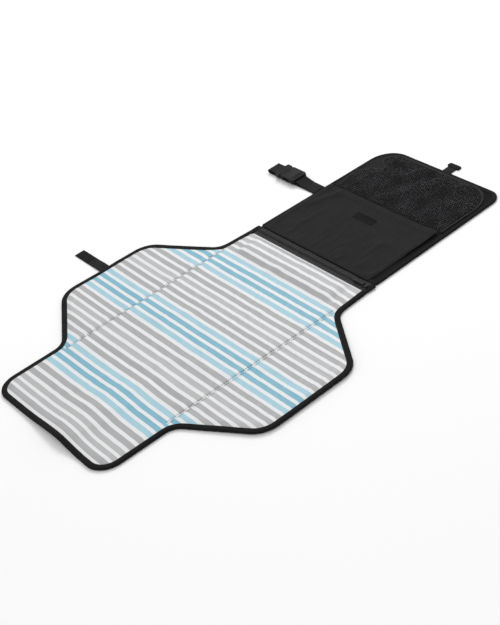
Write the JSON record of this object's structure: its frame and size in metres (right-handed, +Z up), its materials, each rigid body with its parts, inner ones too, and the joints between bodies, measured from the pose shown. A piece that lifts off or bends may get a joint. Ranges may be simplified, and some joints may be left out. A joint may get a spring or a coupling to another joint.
{
  "type": "changing pad",
  "caption": "Padded mat with two fold-in side wings, zipped to a flat clutch with a pocket, a mesh flap, a buckled carry strap and a closure tab.",
  "frame": {"origin": "on the centreline of the underside, below the zip that joins the mat to the clutch", "axes": "+X across the pad, +Y along it from the mat towards the clutch, +Z up from the surface that it lies on"},
  "size_m": [0.6855, 0.8674, 0.0118],
  "materials": {
    "printed_cover": "striped wipe-clean coated cloth, satin",
    "foam": "closed-cell foam sheet, matt",
    "backing_cloth": "black plain-weave cloth",
    "binding_tape": "black folded edge tape, fine rib",
    "stiffener_board": "flexible plastic sheet",
    "zip_teeth": "moulded black zip teeth",
    "zip_metal": "plated zip slider and puller",
    "buckle_plastic": "black moulded acetal, satin",
    "webbing": "black woven webbing",
    "hook_tape": "black hook-and-loop tape",
    "mesh": "black knitted mesh with an elastic edge",
    "clutch_cloth": "charcoal black polyester cloth"
  },
  "bodies": {
    "clutch_back": {"back_shell": "clutch_cloth", "back_board": "stiffener_board", "back_lining": "clutch_cloth", "back_pocket": "clutch_cloth", "blank_patch": "clutch_cloth", "back_binding": "binding_tape", "zip_tapes": "webbing", "zip_teeth": "zip_teeth"},
    "zip_slider": {"zip_slider": "zip_metal"},
    "zip_puller": {"zip_puller": "zip_metal"},
    "clutch_flap": {"flap_shell": "clutch_cloth", "flap_board": "stiffener_board", "flap_lining": "clutch_cloth", "flap_mesh": "mesh", "flap_side_strip": "clutch_cloth", "flap_binding": "binding_tape"},
    "pull_tab": {"pull_tab": "webbing"},
    "strap": {"strap_long": "webbing", "strap_short": "webbing", "buckle_socket": "buckle_plastic"},
    "buckle": {"buckle_prongs": "buckle_plastic", "strap_loop": "webbing"},
    "mat_head": {"head_cover": "printed_cover", "head_foam": "foam", "head_backing": "backing_cloth", "head_binding": "binding_tape", "head_pillow": "printed_cover"},
    "mat_middle": {"middle_cover": "printed_cover", "middle_foam": "foam", "middle_backing": "backing_cloth"},
    "mat_foot": {"foot_cover": "printed_cover", "foot_foam": "foam", "foot_backing": "backing_cloth", "foot_binding": "binding_tape"},
    "closure_tab": {"closure_tab": "webbing", "closure_hook": "hook_tape"},
    "left_wing_head": {"left_head_cover": "printed_cover", "left_head_foam": "foam", "left_head_backing": "backing_cloth", "left_head_binding": "binding_tape"},
    "left_wing_middle": {"left_middle_cover": "printed_cover", "left_middle_foam": "foam", "left_middle_backing": "backing_cloth", "left_middle_binding": "binding_tape"},
    "left_wing_foot": {"left_foot_cover": "printed_cover", "left_foot_foam": "foam", "left_foot_backing": "backing_cloth", "left_foot_binding": "binding_tape"},
    "right_wing_head": {"right_head_cover": "printed_cover", "right_head_foam": "foam", "right_head_backing": "backing_cloth", "right_head_binding": "binding_tape"},
    "right_wing_middle": {"right_middle_cover": "printed_cover", "right_middle_foam": "foam", "right_middle_backing": "backing_cloth", "right_middle_binding": "binding_tape"},
    "right_wing_foot": {"right_foot_cover": "printed_cover", "right_foot_foam": "foam", "right_foot_backing": "backing_cloth", "right_foot_binding": "binding_tape"}
  },
  "joints": [
    {"name": "mat_fold", "type": "hinge", "parent": "clutch_back", "child": "mat_head", "pos_m": [0, -0.008, 0.0233], "axis": [-1, 0, 0], "range_deg": [0, 179.95]},
    {"name": "middle_fold", "type": "hinge", "parent": "mat_head", "child": "mat_middle", "pos_m": [0, -0.18367, 0.0191], "axis": [-1, 0, 0], "range_deg": [0, 179.95]},
    {"name": "foot_fold", "type": "hinge", "parent": "mat_middle", "child": "mat_foot", "pos_m": [0, -0.35933, 0.0126], "axis": [-1, 0, 0], "range_deg": [0, 179.95]},
    {"name": "left_wing_fold", "type": "hinge", "parent": "mat_middle", "child": "left_wing_middle", "pos_m": [-0.152, -0.236, 0.0061], "axis": [0, 1, 0], "range_deg": [0, 179.95]},
    {"name": "left_wing_head_fold", "type": "hinge", "parent": "mat_head", "child": "left_wing_head", "pos_m": [-0.152, -0.127, 0.0061], "axis": [0, 1, 0], "range_deg": [0, 179.95]},
    {"name": "left_wing_foot_fold", "type": "hinge", "parent": "mat_foot", "child": "left_wing_foot", "pos_m": [-0.152, -0.38, 0.0061], "axis": [0, 1, 0], "range_deg": [0, 179.95]},
    {"name": "right_wing_fold", "type": "hinge", "parent": "mat_middle", "child": "right_wing_middle", "pos_m": [0.152, -0.236, 0.0049], "axis": [0, -1, 0], "range_deg": [0, 179.95]},
    {"name": "right_wing_head_fold", "type": "hinge", "parent": "mat_head", "child": "right_wing_head", "pos_m": [0.152, -0.127, 0.0049], "axis": [0, -1, 0], "range_deg": [0, 179.95]},
    {"name": "right_wing_foot_fold", "type": "hinge", "parent": "mat_foot", "child": "right_wing_foot", "pos_m": [0.152, -0.38, 0.0049], "axis": [0, -1, 0], "range_deg": [0, 179.95]},
    {"name": "flap_fold", "type": "hinge", "parent": "clutch_back", "child": "clutch_flap", "pos_m": [0, 0.171, 0.0272], "axis": [1, 0, 0], "range_deg": [0, 179.95]},
    {"name": "pull_tab_lift", "type": "hinge", "parent": "clutch_flap", "child": "pull_tab", "pos_m": [0.004, 0.3062, 0.002], "axis": [-1, 0, 0], "range_deg": [-90, 0]},
    {"name": "strap_lift", "type": "hinge", "parent": "clutch_back", "child": "strap", "pos_m": [-0.1525, 0.145, 0.0028], "axis": [0, -1, 0], "range_deg": [-85, 0]},
    {"name": "buckle_release", "type": "slide", "parent": "strap", "child": "buckle", "axis": [-1, 0, 0], "range_m": [0, 0.03]},
    {"name": "zip_slide", "type": "slide", "parent": "clutch_back", "child": "zip_slider", "axis": [1, 0, 0], "range_m": [-0.28, 0]},
    {"name": "puller_lift", "type": "hinge", "parent": "zip_slider", "child": "zip_puller", "pos_m": [0.1396, 0.002, 0.0062], "axis": [0, -1, 0], "range_deg": [-110, 0]},
    {"name": "closure_tab_lift", "type": "hinge", "parent": "left_wing_middle", "child": "closure_tab", "pos_m": [-0.2985, -0.231, 0.0006], "axis": [0, -1, 0], "range_deg": [-90, 0]}
  ],
  "couplings": [
    {"joint": "left_wing_head_fold", "follows": "left_wing_fold", "ratio": 1},
    {"joint": "left_wing_foot_fold", "follows": "left_wing_fold", "ratio": 1},
    {"joint": "right_wing_head_fold", "follows": "right_wing_fold", "ratio": 1},
    {"joint": "right_wing_foot_fold", "follows": "right_wing_fold", "ratio": 1}
  ]
}
